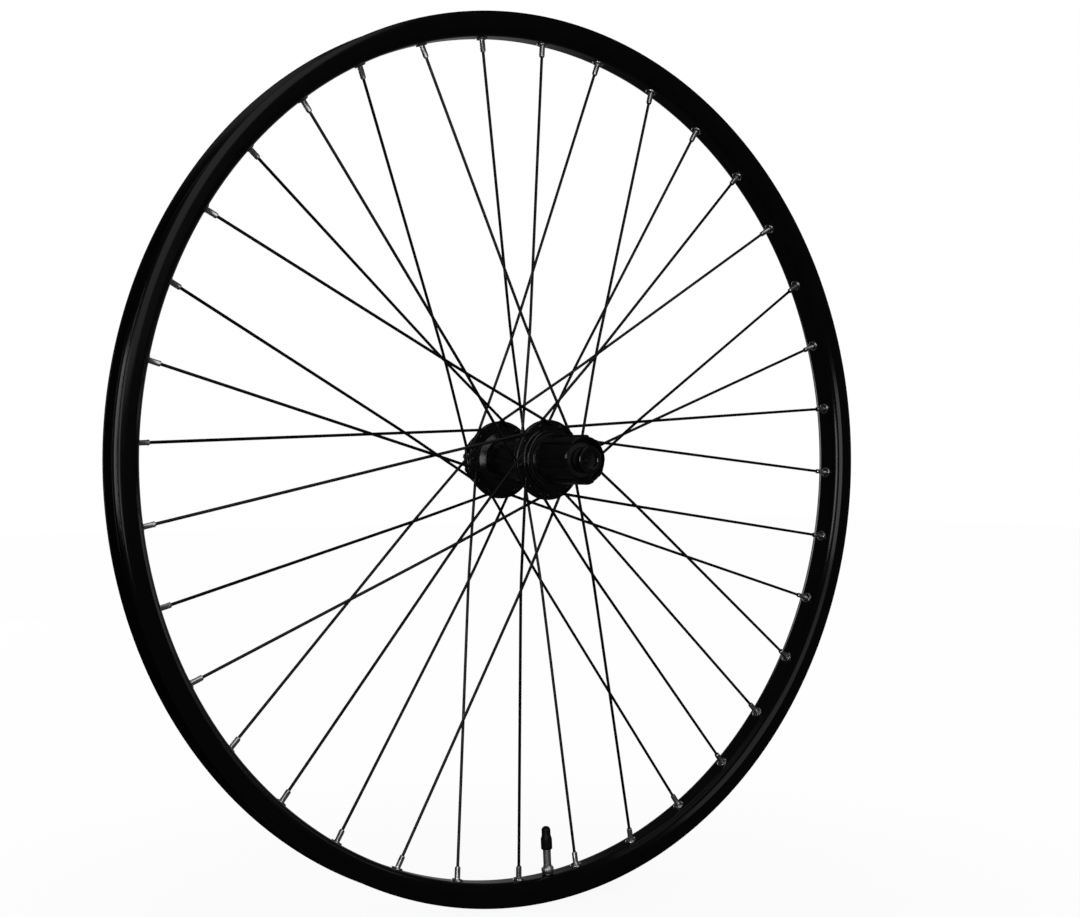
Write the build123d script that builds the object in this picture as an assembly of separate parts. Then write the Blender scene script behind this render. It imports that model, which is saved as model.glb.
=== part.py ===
from build123d import *
from math import asin, cos, degrees, hypot, radians, sin, sqrt, tan
import os

# Rear bicycle wheel in millimetres. The axle lies along Y, the drive side is -Y,
# Z is up and the bike travels toward +X. Station angles run from the top of the
# wheel toward +X, so a station at 90 degrees lies on +X.

# Rim
BEAD_SEAT_DIAMETER = 622.0
LIP_HEIGHT = 6.0
RIM_WIDTH = 25.4
LIP_THICKNESS = 2.0
LIP_CHAMFER = 0.7
RIM_HEIGHT = 17.0
WELL_DEPTH = 3.6
WELL_WIDTH = 12.6
SHELF_WIDTH = 2.4
SPOKE_FACE_WIDTH = 10.8
SPOKE_WALL = 2.0
BRIDGE_WALL = 1.2
SIDE_WALL = 1.3
FLANK_DEPTH = 8.2
FLANK_BULGE_RISE = 0.34
FLANK_BULGE_SPAN = 0.66
BOSS_HEIGHT = 1.3
BOSS_TOP_DIAMETER = 6.4
BOSS_BASE_DIAMETER = 13.0
NIPPLE_HOLE = 4.9
ACCESS_HOLE = 8.6
TAPE_THICKNESS = 0.4
TAPE_EDGE_GAP = 0.3
TAPE_SEAT = 0.2

# Spokes and nipples
SPOKE_COUNT = 36
CROSSES = 3
SPOKE_DIAMETER = 2.0
WIRE_CORNER_SHARE = 1.05
SPOKE_HEAD_DIAMETER = 4.0
SPOKE_HEAD_HEIGHT = 1.3
SPOKE_CROWN_DIAMETER = 2.5
SPOKE_STAGGER_WIDTH = 1.0
NIPPLE_LENGTH = 14.0
NIPPLE_FLATS = 3.4
NIPPLE_CORNERS = 4.0
NIPPLE_HEAD_DIAMETER = 6.0
NIPPLE_HEAD_HEIGHT = 2.2
THREAD_SHORT = 0.8

# Valve, with its length measured from the spoke face of the rim
VALVE_ANGLE = 177.0
VALVE_STEM_DIAMETER = 5.9
VALVE_AIR_BORE = 3.0
VALVE_CORE_DIAMETER = 4.0
VALVE_CORE_DEPTH = 9.0
VALVE_PIN_DIAMETER = 2.7
VALVE_PIN_LENGTH = 4.0
VALVE_STEM_REACH = 27.0
VALVE_FOOT_DIAMETER = 11.6
VALVE_FOOT_HEIGHT = 2.6
VALVE_RING_HEIGHT = 1.5
VALVE_RING_INSET = 0.3
VALVE_NUT_DIAMETER = 9.2
VALVE_NUT_HEIGHT = 4.2
VALVE_NUT_CHAMFER = 1.1
CAP_GRIP = 9.2
CAP_SKIRT_DIAMETER = 8.2
CAP_SKIRT_HEIGHT = 9.0
CAP_SKIRT_CHAMFER = 0.6
CAP_NOSE_DIAMETER = 6.5
CAP_NOSE_HEIGHT = 7.6
CAP_NOSE_CHAMFER = 1.4
CAP_ROOF = 1.2

# Hub shell
LOCKNUT_WIDTH = 142.0
AXLE_BORE = 12.1
DISC_FLANGE_Y = 37.2
DRIVE_FLANGE_Y = -21.8
FLANGE_DIAMETER = 57.0
FLANGE_THICKNESS = 3.2
HOLE_CIRCLE = 50.0
FLANGE_HOLE = 2.7
FLANGE_ROOT_WIDTH = 1.0
HEAD_LAND = 1.0
BARREL_DIAMETER = 31.0
BARREL_CONE_LENGTH = 5.0
DRIVE_CONE_OFFSET = 6.0
NECK_DIAMETER = 34.0
NECK_CONE_LENGTH = 3.0
RATCHET_POCKET_DIAMETER = 38.0
POCKET_WALL = 2.6
POCKET_LEDGE = 0.8
SHELL_BORE_ROOM = 2.0
SHELL_DRIVE_LIP = 5.2
ROTOR_INSET = 15.3
ROTOR_SHOULDER_DIAMETER = 41.0
ROTOR_SHOULDER_WIDTH = 2.6
ROTOR_SPLINE_DIAMETER = 35.6
ROTOR_SPLINE_LENGTH = 5.4
ROTOR_SPLINES = 20
ROTOR_GROOVE_WIDTH = 2.4
ROTOR_GROOVE_DEPTH = 1.3
ROTOR_GROOVE_RUNOUT = 0.5
LOCKRING_BORE = 30.6

# Axle, bearings and freehub
AXLE_DIAMETER = 15.0
AXLE_SHOULDER_DIAMETER = 17.6
AXLE_CAP_STOP = 3.0
END_CAP_DIAMETER = 19.0
END_CAP_COLLAR = 5.0
END_CAP_EDGE = 0.6
COLLAR_CONE = 0.8
BORE_LEAD_IN = 0.8
DUST_SEAL_GAP = 0.4
DUST_SEAL_WIDTH = 1.2
HUB_BEARING_OUTER = 28.0
HUB_BEARING_WIDTH = 7.0
DISC_BEARING_DEPTH = 17.0
DRIVE_BEARING_Y = -8.0
FREEHUB_BEARING_OUTER = 24.0
FREEHUB_BEARING_WIDTH = 5.0
RACE_THICKNESS = 1.6
GROOVE_DEPTH = 0.6
SEAL_THICKNESS = 0.6
FREEHUB_DIAMETER = 34.9
FREEHUB_INSET = 5.4
FREEHUB_END_CHAMFER = 0.6
FREEHUB_BORE_ROOM = 1.0
FREEHUB_STOP_DIAMETER = 37.4
FREEHUB_STOP_WIDTH = 2.4
FREEHUB_SPLINES = 9
FREEHUB_GROOVE_WIDTH = 6.6
FREEHUB_GROOVE_DEPTH = 1.2
FREEHUB_KEY_EXTRA = 1.4
FREEHUB_KEY_ANGLE = 23.0
FREEHUB_THREAD_DEPTH = 6.0
PAWL_BOSS_DIAMETER = 28.6
RATCHET_TEETH = 36
RATCHET_TIP_DIAMETER = 30.0
RATCHET_TOOTH_DEPTH = 1.6
RATCHET_WIDTH = 9.0
FREEHUB_SEAL_GAP = 0.1
PAWL_COUNT = 3
PAWL_WIDTH = 6.0
PAWL_PIVOT_RADIUS = 12.4
PAWL_HEEL_RADIUS = 1.5
PAWL_REACH = 6.0
PAWL_RISE = 2.2
PAWL_TIP_LEAN = 0.5
PAWL_TIP_DEPTH = 1.6
PAWL_NECK_RUN = 1.5
PAWL_NECK_DEPTH = 2.0
PAWL_NOTCH_ROOM = 0.5
PAWL_SWING = 12.0
PAWL_SLACK = 3.5
SPRING_WIRE = 0.7
SPRING_GAP_ANGLE = 20.0
SPACER_WALL = 1.4

# Clearances
SLIP = 0.05
RUNNING = 0.3
THREAD_ROOM = 0.06
ELBOW_ROOM = 0.06
CROSS_ROOM = 0.04

# Levels that follow from the sizes above
bead_radius = BEAD_SEAT_DIAMETER / 2
rim_radius = bead_radius + LIP_HEIGHT
half_rim = RIM_WIDTH / 2
half_inside = half_rim - LIP_THICKNESS
well_radius = bead_radius - WELL_DEPTH
face_radius = rim_radius - RIM_HEIGHT
cavity_roof = well_radius - BRIDGE_WALL
boss_radius = face_radius - BOSS_HEIGHT
wall_middle = face_radius + SPOKE_WALL / 2
spoke_pitch = 360 / SPOKE_COUNT
set_pitch = 4 * spoke_pitch
lacing_angle = CROSSES * 2 * spoke_pitch
hole_radius = HOLE_CIRCLE / 2
spoke_radius = SPOKE_DIAMETER / 2
wire_corner = spoke_radius * WIRE_CORNER_SHARE
stagger = SPOKE_STAGGER_WIDTH / 2
end_face = LOCKNUT_WIDTH / 2
axle_radius = AXLE_DIAMETER / 2
bore_radius = AXLE_BORE / 2


def turned(*points):
    """A body of revolution about the axle, from (radius, y) points."""
    return revolve(make_face(Polyline(*points, close=True)), Axis.Y)


def ring(inner, outer, y0, y1):
    return turned((inner, y0), (outer, y0), (outer, y1), (inner, y1))


def at_station(shape, angle):
    return Rotation(0, angle, 0) * shape


def around(shape, count, start=0.0):
    return [at_station(shape, start + i * 360 / count) for i in range(count)]


def radial(shape, radius, y=0.0):
    """Stand a shape made along +Z on the spoke line at the top of the wheel, facing the axle."""
    return Pos(0, y, radius) * Rotation(180, 0, 0) * shape


def save(name, *solids):
    shape = solids[0] if len(solids) == 1 else Compound(children=list(solids))
    shape.label = name
    export_step(shape, f"parts/{name}.step")


os.makedirs("parts", exist_ok=True)

# Rim: a hollow section turned about the axle, with a raised boss at every nipple
half_face = SPOKE_FACE_WIDTH / 2
flank_width = half_rim - half_face


def flank(inset, floor):
    """Start, middle and end of the rounded side wall, inset by a wall, from a floor on the spoke face."""
    start = (face_radius + floor, half_face)
    lean = inset / sqrt(2)
    middle_r = face_radius + FLANK_DEPTH * FLANK_BULGE_RISE + lean
    middle_y = half_face + flank_width * FLANK_BULGE_SPAN - lean
    middle = (middle_r, middle_y)
    end = (face_radius + FLANK_DEPTH, half_rim - inset)
    return start, middle, end


def across(points):
    """The same points on the other side of the rim's middle plane, in reverse order."""
    return [(r, -y) for r, y in reversed(points)]


def closed_section(walls, side):
    """A closed face from straight walls on the tyre side and rounded flanks on the spoke side."""
    edges = Polyline(*walls, *across(walls))
    edges += ThreePointArc(*side) + ThreePointArc(*across(side))
    return make_face(edges + Line(side[0], across(side)[-1]))


outside = flank(0, 0)
bed_walls = [
    outside[-1],
    (rim_radius - LIP_CHAMFER, half_rim),
    (rim_radius, half_rim - LIP_CHAMFER),
    (rim_radius, half_inside),
    (bead_radius, half_inside),
    (bead_radius, half_inside - SHELF_WIDTH),
    (well_radius, WELL_WIDTH / 2),
]
shelf_under = bead_radius - BRIDGE_WALL
hollow = flank(SIDE_WALL, SPOKE_WALL)
cavity_walls = [
    hollow[-1],
    (shelf_under, half_rim - SIDE_WALL),
    (shelf_under, half_inside - SHELF_WIDTH + BRIDGE_WALL),
    (cavity_roof, WELL_WIDTH / 2 + BRIDGE_WALL / 2),
]
section = closed_section(bed_walls, outside) - closed_section(cavity_walls, hollow)
rim = revolve(section, Axis.Y)
boss_root = SPOKE_WALL / 4
boss_slope = (BOSS_BASE_DIAMETER - BOSS_TOP_DIAMETER) / 2 / BOSS_HEIGHT
boss = Cone(
    BOSS_BASE_DIAMETER / 2 + boss_root * boss_slope / 4,
    BOSS_TOP_DIAMETER / 2,
    BOSS_HEIGHT + boss_root,
    align=(Align.CENTER, Align.CENTER, Align.MIN),
)
nipple_drill = Cylinder(NIPPLE_HOLE / 2, SPOKE_WALL + 3 * BOSS_HEIGHT)
access_drill = Cylinder(ACCESS_HOLE / 2, 2 * BRIDGE_WALL)
valve_drill = Cylinder(VALVE_STEM_DIAMETER / 2 + RUNNING, 2 * (well_radius - face_radius))
first_station = VALVE_ANGLE + (SPOKE_COUNT - 1) * spoke_pitch / 2
bosses = []
drills = [at_station(radial(valve_drill, (well_radius + face_radius) / 2), VALVE_ANGLE)]
for i in range(SPOKE_COUNT):
    station = first_station + i * spoke_pitch
    y = stagger if i % 2 == 0 else -stagger
    bosses.append(at_station(radial(boss, face_radius + boss_root, y), station))
    drills.append(at_station(radial(nipple_drill, wall_middle - BOSS_HEIGHT / 2, y), station))
    drills.append(at_station(radial(access_drill, well_radius - BRIDGE_WALL / 2), station))
rim = rim + bosses
rim = rim - drills
save("rim", rim)

tape_half = WELL_WIDTH / 2 - TAPE_EDGE_GAP
tape_seat = well_radius + TAPE_SEAT
tape_top = tape_seat + TAPE_THICKNESS
tape = ring(tape_seat, tape_top, -tape_half, tape_half)
tape = tape - at_station(radial(valve_drill, well_radius), VALVE_ANGLE)
save("rim_tape", tape)

# Spokes: wire with eight sides, since there are thirty-six of them. Each leaves its
# flange hole, bends at the elbow and is woven past one neighbour at the last crossing.
wire = RegularPolygon(wire_corner, 8)
wire_room = RegularPolygon(wire_corner + THREAD_ROOM, 8)
half_flange = FLANGE_THICKNESS / 2
flange_radius = FLANGE_DIAMETER / 2
cross_angle = radians(spoke_pitch)
hole_x = hole_radius * sin(radians(lacing_angle))
hole_z = hole_radius * cos(radians(lacing_angle))
cross_share = tan(cross_angle) * wall_middle
cross_share /= hole_x + tan(cross_angle) * (wall_middle - hole_z)
plan_length = hypot(hole_x, wall_middle - hole_z)
inward = (hole_x * -hole_x + hole_z * (wall_middle - hole_z)) / plan_length
edge_run = -inward + sqrt(inward**2 + flange_radius**2 - hole_radius**2)
edge_share = edge_run / (plan_length * (1 - cross_share))


def make_spoke(flange_y, turn, outer):
    """One spoke and its nipple at the top station; turn is the way it leans along the rim."""
    side = 1 if flange_y > 0 else -1
    depth = abs(flange_y)
    weave = wire_corner + CROSS_ROOM
    cross_depth = depth * cross_share + stagger * (1 - cross_share)
    cross_depth += -weave if outer else weave
    outer_face = depth + half_flange
    inner_face = depth - half_flange
    if outer:
        room = wire_corner + ELBOW_ROOM + edge_share * (outer_face - cross_depth)
        elbow_depth = outer_face + room / (1 - edge_share)
        head_face, head_way = inner_face, -1
    else:
        elbow_depth = inner_face - wire_corner - ELBOW_ROOM
        head_face, head_way = outer_face, 1
    x, z = turn * hole_x, hole_z
    cross = Vector(
        turn * hole_x * cross_share,
        side * cross_depth,
        wall_middle + (hole_z - wall_middle) * cross_share,
    )
    seat = Vector(0, side * stagger, wall_middle)
    down = (cross - seat).normalized()
    tilt = sqrt(down.X**2 + down.Y**2)
    seat_up = SPOKE_WALL / 2 + NIPPLE_HEAD_DIAMETER / 2 * tilt + SLIP
    top = seat_up + NIPPLE_HEAD_HEIGHT
    path = Polyline(
        (x, side * head_face, z),
        (x, side * elbow_depth, z),
        cross,
        seat - down * (top - THREAD_SHORT),
    )
    spoke = sweep(path.location_at(0) * wire, path, transition=Transition.RIGHT)
    head_axis = Plane((x, side * head_face, z), z_dir=(0, side * head_way, 0))
    head = loft(
        [
            head_axis * RegularPolygon(SPOKE_HEAD_DIAMETER / 2, 8),
            head_axis.offset(SPOKE_HEAD_HEIGHT) * RegularPolygon(SPOKE_CROWN_DIAMETER / 2, 8),
        ],
        ruled=True,
    )
    axis = Plane(seat, x_dir=(1, 0, 0), z_dir=down)
    corner = NIPPLE_FLATS / 2 - (NIPPLE_FLATS * sqrt(2) - NIPPLE_CORNERS) / sqrt(2)
    half = NIPPLE_FLATS / 2
    flats = [(half, -corner), (half, corner), (corner, half), (-corner, half)]
    flats += [(-px, -py) for px, py in flats]
    shank_face = axis.offset(-seat_up) * make_face(Polyline(*flats, close=True))
    shank = extrude(shank_face, NIPPLE_LENGTH - NIPPLE_HEAD_HEIGHT)
    cap = extrude(axis.offset(-top) * RegularPolygon(NIPPLE_HEAD_DIAMETER / 2, 8), NIPPLE_HEAD_HEIGHT)
    bore = extrude(axis.offset(-top) * wire_room, NIPPLE_LENGTH)
    return spoke + head, shank + cap - bore


SETS = (
    ("disc_trailing", DISC_FLANGE_Y, 1, False, 0),
    ("disc_leading", DISC_FLANGE_Y, -1, True, 2),
    ("drive_leading", DRIVE_FLANGE_Y, -1, False, 1),
    ("drive_trailing", DRIVE_FLANGE_Y, 1, True, 3),
)
for name, flange_y, turn, outer, slot in SETS:
    spoke, nipple = make_spoke(flange_y, turn, outer)
    start = first_station + slot * spoke_pitch
    save(f"spokes_{name}", *around(spoke, SPOKE_COUNT // 4, start))
    save(f"nipples_{name}", *around(nipple, SPOKE_COUNT // 4, start))

# Valve, made along +Z from the spoke face toward the axle
bed_level = face_radius - tape_top
ring_radius = VALVE_NUT_DIAMETER / 2 - VALVE_RING_INSET
ring_base = face_radius - sqrt(face_radius**2 - ring_radius**2) + SLIP
ring_top = ring_base + VALVE_RING_HEIGHT
nut_top = ring_top + VALVE_NUT_HEIGHT
cap_base = VALVE_STEM_REACH - CAP_GRIP
cap_shoulder = cap_base + CAP_SKIRT_HEIGHT
cap_top = cap_shoulder + CAP_NOSE_HEIGHT
core_top = VALVE_STEM_REACH + VALVE_PIN_LENGTH
core_base = VALVE_STEM_REACH - VALVE_CORE_DEPTH
foot_top = bed_level - VALVE_FOOT_HEIGHT
stem_radius = VALVE_STEM_DIAMETER / 2


def tube(outer, inner, z0, z1):
    return Pos(0, 0, z0) * (
        Cylinder(outer, z1 - z0, align=(Align.CENTER, Align.CENTER, Align.MIN))
        - Cylinder(inner, z1 - z0, align=(Align.CENTER, Align.CENTER, Align.MIN))
    )


def rod(radius, z0, z1):
    return Pos(0, 0, z0) * Cylinder(radius, z1 - z0, align=(Align.CENTER, Align.CENTER, Align.MIN))


stem = rod(stem_radius, foot_top, VALVE_STEM_REACH)
stem = stem - rod(VALVE_AIR_BORE / 2, foot_top, core_base)
stem = stem - rod(VALVE_CORE_DIAMETER / 2 + SLIP, core_base, VALVE_STEM_REACH)
foot = Pos(0, 0, foot_top) * Cone(
    VALVE_FOOT_DIAMETER / 2 - VALVE_FOOT_HEIGHT / 2,
    VALVE_FOOT_DIAMETER / 2,
    VALVE_FOOT_HEIGHT,
    align=(Align.CENTER, Align.CENTER, Align.MIN),
)
foot = foot - rod(stem_radius + SLIP, foot_top, bed_level)
core = rod(VALVE_CORE_DIAMETER / 2, core_base, VALVE_STEM_REACH) + rod(
    VALVE_PIN_DIAMETER / 2, VALVE_STEM_REACH, core_top
)
seal_ring = tube(ring_radius, stem_radius + SLIP, ring_base, ring_top)
nut = rod(VALVE_NUT_DIAMETER / 2, ring_top, nut_top)
nut = chamfer(nut.faces().sort_by(Axis.Z)[-1].edges(), VALVE_NUT_CHAMFER)
nut = nut - rod(stem_radius + SLIP, ring_top, nut_top)
cap = rod(CAP_SKIRT_DIAMETER / 2, cap_base, cap_shoulder)
cap = chamfer(cap.edges().filter_by(GeomType.CIRCLE), CAP_SKIRT_CHAMFER)
cap = cap + rod(CAP_NOSE_DIAMETER / 2, cap_shoulder, cap_top)
cap = chamfer(cap.faces().sort_by(Axis.Z)[-1].edges(), CAP_NOSE_CHAMFER)
cap = cap - rod(stem_radius + SLIP, cap_base, VALVE_STEM_REACH + SLIP)
cap = cap - rod(VALVE_PIN_DIAMETER / 2 + SLIP, VALVE_STEM_REACH, cap_top - CAP_ROOF)
for name, piece in (
    ("valve_stem", stem),
    ("valve_foot", foot),
    ("valve_core", core),
    ("valve_seal_ring", seal_ring),
    ("valve_nut", nut),
    ("valve_cap", cap),
):
    save(name, at_station(radial(piece, face_radius), VALVE_ANGLE))

# Hub shell, turned in one piece with both flanges and the rotor seat
disc_bearing_y = end_face - DISC_BEARING_DEPTH
disc_bearing_in = disc_bearing_y - HUB_BEARING_WIDTH
drive_bearing_out = DRIVE_BEARING_Y - HUB_BEARING_WIDTH
rotor_face = end_face - ROTOR_INSET
rotor_end = rotor_face + ROTOR_SPLINE_LENGTH
shell_drive_end = DRIVE_FLANGE_Y - SHELL_DRIVE_LIP
hub_bearing_radius = HUB_BEARING_OUTER / 2
pocket_radius = RATCHET_POCKET_DIAMETER / 2
pocket_outer = pocket_radius + POCKET_WALL
barrel_radius = BARREL_DIAMETER / 2
neck_radius = NECK_DIAMETER / 2
shoulder_radius = ROTOR_SHOULDER_DIAMETER / 2
spline_radius = ROTOR_SPLINE_DIAMETER / 2
lock_radius = LOCKRING_BORE / 2
core_bore = AXLE_SHOULDER_DIAMETER / 2 + SHELL_BORE_ROOM
disc_in = DISC_FLANGE_Y - half_flange
disc_out = DISC_FLANGE_Y + half_flange
drive_in = DRIVE_FLANGE_Y + half_flange
drive_out = DRIVE_FLANGE_Y - half_flange
pocket_floor = drive_bearing_out - POCKET_LEDGE
web = hole_radius - SPOKE_HEAD_DIAMETER - HEAD_LAND
shell = turned(
    (spline_radius, rotor_end),
    (spline_radius, rotor_face),
    (shoulder_radius, rotor_face),
    (shoulder_radius, rotor_face - ROTOR_SHOULDER_WIDTH),
    (neck_radius, rotor_face - 2 * ROTOR_SHOULDER_WIDTH),
    (neck_radius, disc_out + NECK_CONE_LENGTH),
    (web, disc_out),
    (flange_radius, disc_out),
    (flange_radius, disc_in),
    (web, disc_in),
    (barrel_radius, disc_in - BARREL_CONE_LENGTH),
    (barrel_radius, DRIVE_BEARING_Y + DRIVE_CONE_OFFSET),
    (pocket_outer, drive_in + FLANGE_ROOT_WIDTH),
    (pocket_outer, drive_in),
    (flange_radius, drive_in),
    (flange_radius, drive_out),
    (pocket_outer, drive_out),
    (pocket_outer, shell_drive_end),
    (pocket_radius, shell_drive_end),
    (pocket_radius, pocket_floor),
    (hub_bearing_radius + SLIP, pocket_floor),
    (hub_bearing_radius + SLIP, DRIVE_BEARING_Y),
    (core_bore, DRIVE_BEARING_Y),
    (core_bore, disc_bearing_in),
    (hub_bearing_radius + SLIP, disc_bearing_in),
    (hub_bearing_radius + SLIP, disc_bearing_y),
    (lock_radius, disc_bearing_y),
    (lock_radius, rotor_end),
)
hole_drill = Rotation(90, 0, 0) * Cylinder(FLANGE_HOLE / 2, FLANGE_THICKNESS * 1.5)
shell_cuts = []
for flange_y, shift in ((DISC_FLANGE_Y, 0), (DRIVE_FLANGE_Y, 1)):
    drill = Pos(0, flange_y, hole_radius) * hole_drill
    start = first_station + lacing_angle + shift * spoke_pitch
    shell_cuts += around(drill, SPOKE_COUNT // 2, start)
groove = Box(
    ROTOR_GROOVE_WIDTH,
    ROTOR_SPLINE_LENGTH,
    2 * ROTOR_GROOVE_DEPTH,
    align=(Align.CENTER, Align.MIN, Align.CENTER),
)
groove = Pos(0, rotor_face + ROTOR_GROOVE_RUNOUT, spline_radius) * groove
shell_cuts += around(groove, ROTOR_SPLINES)
save("hub_shell", shell - shell_cuts)

# Sealed bearings: an outer and an inner race with a ball groove, and a seal on each side
def bearing(outer, width, y_out, direction):
    """Races and seals of one bearing whose outer side is at y_out; the bearing runs on by width."""
    y0, y1 = sorted((y_out, y_out + direction * width))
    outer_in = outer / 2 - RACE_THICKNESS
    inner_out = axle_radius + RACE_THICKNESS
    quarter = (y1 - y0) / 4
    outer_race = turned(
        (outer / 2, y0), (outer / 2, y1), (outer_in, y1), (outer_in, y1 - quarter),
        (outer_in + GROOVE_DEPTH, (y0 + y1) / 2), (outer_in, y0 + quarter), (outer_in, y0),
    )
    inner_race = turned(
        (axle_radius + SLIP, y0), (axle_radius + SLIP, y1), (inner_out, y1),
        (inner_out, y1 - quarter), (inner_out - GROOVE_DEPTH, (y0 + y1) / 2),
        (inner_out, y0 + quarter), (inner_out, y0),
    )
    seals = [
        ring(inner_out + SLIP, outer_in, y0, y0 + SEAL_THICKNESS),
        ring(inner_out + SLIP, outer_in, y1 - SEAL_THICKNESS, y1),
    ]
    return outer_race, inner_race, seals


freehub_end = FREEHUB_INSET - end_face
outboard_y = freehub_end + FREEHUB_THREAD_DEPTH
inboard_y = shell_drive_end - RUNNING - FREEHUB_STOP_WIDTH
outboard_in = outboard_y + FREEHUB_BEARING_WIDTH
inboard_out = inboard_y - FREEHUB_BEARING_WIDTH
for name, outer, width, y_out, direction in (
    ("disc_bearing", HUB_BEARING_OUTER, HUB_BEARING_WIDTH, disc_bearing_y, -1),
    ("drive_bearing", HUB_BEARING_OUTER, HUB_BEARING_WIDTH, DRIVE_BEARING_Y, -1),
    ("freehub_inboard_bearing", FREEHUB_BEARING_OUTER, FREEHUB_BEARING_WIDTH, inboard_y, -1),
    ("freehub_outboard_bearing", FREEHUB_BEARING_OUTER, FREEHUB_BEARING_WIDTH, outboard_y, 1),
):
    outer_race, inner_race, seals = bearing(outer, width, y_out, direction)
    save(f"{name}_outer", outer_race)
    save(f"{name}_inner", inner_race)
    save(f"{name}_seals", *seals)

# Axle tube with a shoulder between the hub bearings, spacers and end caps
axle_end = end_face - AXLE_CAP_STOP
axle = turned(
    (bore_radius, -axle_end), (axle_radius, -axle_end), (axle_radius, DRIVE_BEARING_Y),
    (AXLE_SHOULDER_DIAMETER / 2, DRIVE_BEARING_Y), (AXLE_SHOULDER_DIAMETER / 2, disc_bearing_in),
    (axle_radius, disc_bearing_in), (axle_radius, axle_end), (bore_radius, axle_end),
)
save("axle", axle)
sleeve_radius = axle_radius + SPACER_WALL
cap_radius = END_CAP_DIAMETER / 2


def end_cap(side, bearing_y):
    return turned(
        (axle_radius + SLIP, side * bearing_y),
        (sleeve_radius, side * bearing_y),
        (sleeve_radius, side * (end_face - END_CAP_COLLAR)),
        (cap_radius, side * (end_face - END_CAP_COLLAR + COLLAR_CONE)),
        (cap_radius, side * (end_face - END_CAP_EDGE)),
        (cap_radius - END_CAP_EDGE, side * end_face),
        (bore_radius + BORE_LEAD_IN, side * end_face),
        (bore_radius, side * (end_face - BORE_LEAD_IN)),
        (bore_radius, side * axle_end),
        (axle_radius + SLIP, side * axle_end),
    )


save("disc_end_cap", end_cap(1, disc_bearing_y))
save("drive_end_cap", end_cap(-1, -outboard_y))
save("drive_spacer", ring(axle_radius + SLIP, sleeve_radius, inboard_y, drive_bearing_out))
save("freehub_spacer", ring(axle_radius + SLIP, sleeve_radius, outboard_in, inboard_out))
seal_y = disc_bearing_y + DUST_SEAL_GAP
dust_seal = ring(sleeve_radius + SLIP, lock_radius - SLIP, seal_y, seal_y + DUST_SEAL_WIDTH)
save("disc_dust_seal", dust_seal)

# Ratchet ring fixed in the shell, saw teeth facing in
tooth_pitch = 360 / RATCHET_TEETH
tip_radius = RATCHET_TIP_DIAMETER / 2
root_radius = tip_radius + RATCHET_TOOTH_DEPTH
pawl_tip_angle = degrees(asin(PAWL_REACH / hypot(PAWL_REACH, PAWL_PIVOT_RADIUS + PAWL_RISE)))
tooth_face_angle = pawl_tip_angle + PAWL_SLACK
ratchet_out = pocket_floor - RATCHET_WIDTH


def polar(radius, angle):
    return (radius * sin(radians(angle)), radius * cos(radians(angle)))


# The Y axis runs into this sketch plane, so its x and y are the wheel's X and Z
ratchet_plane = Plane((0, pocket_floor, 0), x_dir=(1, 0, 0), z_dir=(0, -1, 0))
teeth = []
for i in range(RATCHET_TEETH):
    teeth.append(polar(root_radius, tooth_face_angle + i * tooth_pitch))
    teeth.append(polar(tip_radius, tooth_face_angle + i * tooth_pitch))
ratchet_face = Circle(pocket_radius - SLIP) - make_face(Polyline(*teeth, close=True))
save("ratchet_ring", extrude(ratchet_plane * ratchet_face, RATCHET_WIDTH))
pawl_boss = PAWL_BOSS_DIAMETER / 2
seal_out = shell_drive_end + FREEHUB_SEAL_GAP
seal_in = ratchet_out - FREEHUB_SEAL_GAP
save("freehub_seal", ring(pawl_boss + RUNNING / 2, pocket_radius - SLIP, seal_out, seal_in))

# Freehub body: splined for the sprockets, with the pawl carrier reaching into the ratchet
stop_y = shell_drive_end - RUNNING
stop_radius = FREEHUB_STOP_DIAMETER / 2
body_radius = FREEHUB_DIAMETER / 2
boss_end = pocket_floor - RUNNING
freehub_bore = FREEHUB_BEARING_OUTER / 2
clear_bore = sleeve_radius + FREEHUB_BORE_ROOM
freehub = turned(
    (clear_bore, boss_end), (pawl_boss, boss_end), (pawl_boss, stop_y), (stop_radius, stop_y),
    (stop_radius, stop_y - FREEHUB_STOP_WIDTH), (body_radius, stop_y - FREEHUB_STOP_WIDTH),
    (body_radius, freehub_end + FREEHUB_END_CHAMFER), (body_radius - FREEHUB_END_CHAMFER, freehub_end),
    (lock_radius, freehub_end), (lock_radius, outboard_y),
    (freehub_bore + SLIP, outboard_y), (freehub_bore + SLIP, outboard_in),
    (clear_bore, outboard_in), (clear_bore, inboard_out), (freehub_bore + SLIP, inboard_out),
    (freehub_bore + SLIP, inboard_y), (clear_bore, inboard_y),
)
spline_start = stop_y - FREEHUB_STOP_WIDTH
spline_length = spline_start - freehub_end
freehub_cuts = []
for i in range(FREEHUB_SPLINES):
    width = FREEHUB_GROOVE_WIDTH + (FREEHUB_KEY_EXTRA if i == 0 else 0)
    cut = Box(
        width,
        spline_length + FREEHUB_END_CHAMFER,
        2 * FREEHUB_GROOVE_DEPTH,
        align=(Align.CENTER, Align.MAX, Align.CENTER),
    )
    cut = Pos(0, spline_start, body_radius) * cut
    freehub_cuts.append(at_station(cut, FREEHUB_KEY_ANGLE + i * 360 / FREEHUB_SPLINES))
pawl_mid = (boss_end + ratchet_out) / 2
pawl_plane = Plane((0, pawl_mid + PAWL_WIDTH / 2, 0), x_dir=(1, 0, 0), z_dir=(0, -1, 0))
spring_out = PAWL_PIVOT_RADIUS + PAWL_HEEL_RADIUS
spring_in = spring_out - SPRING_WIRE


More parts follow.
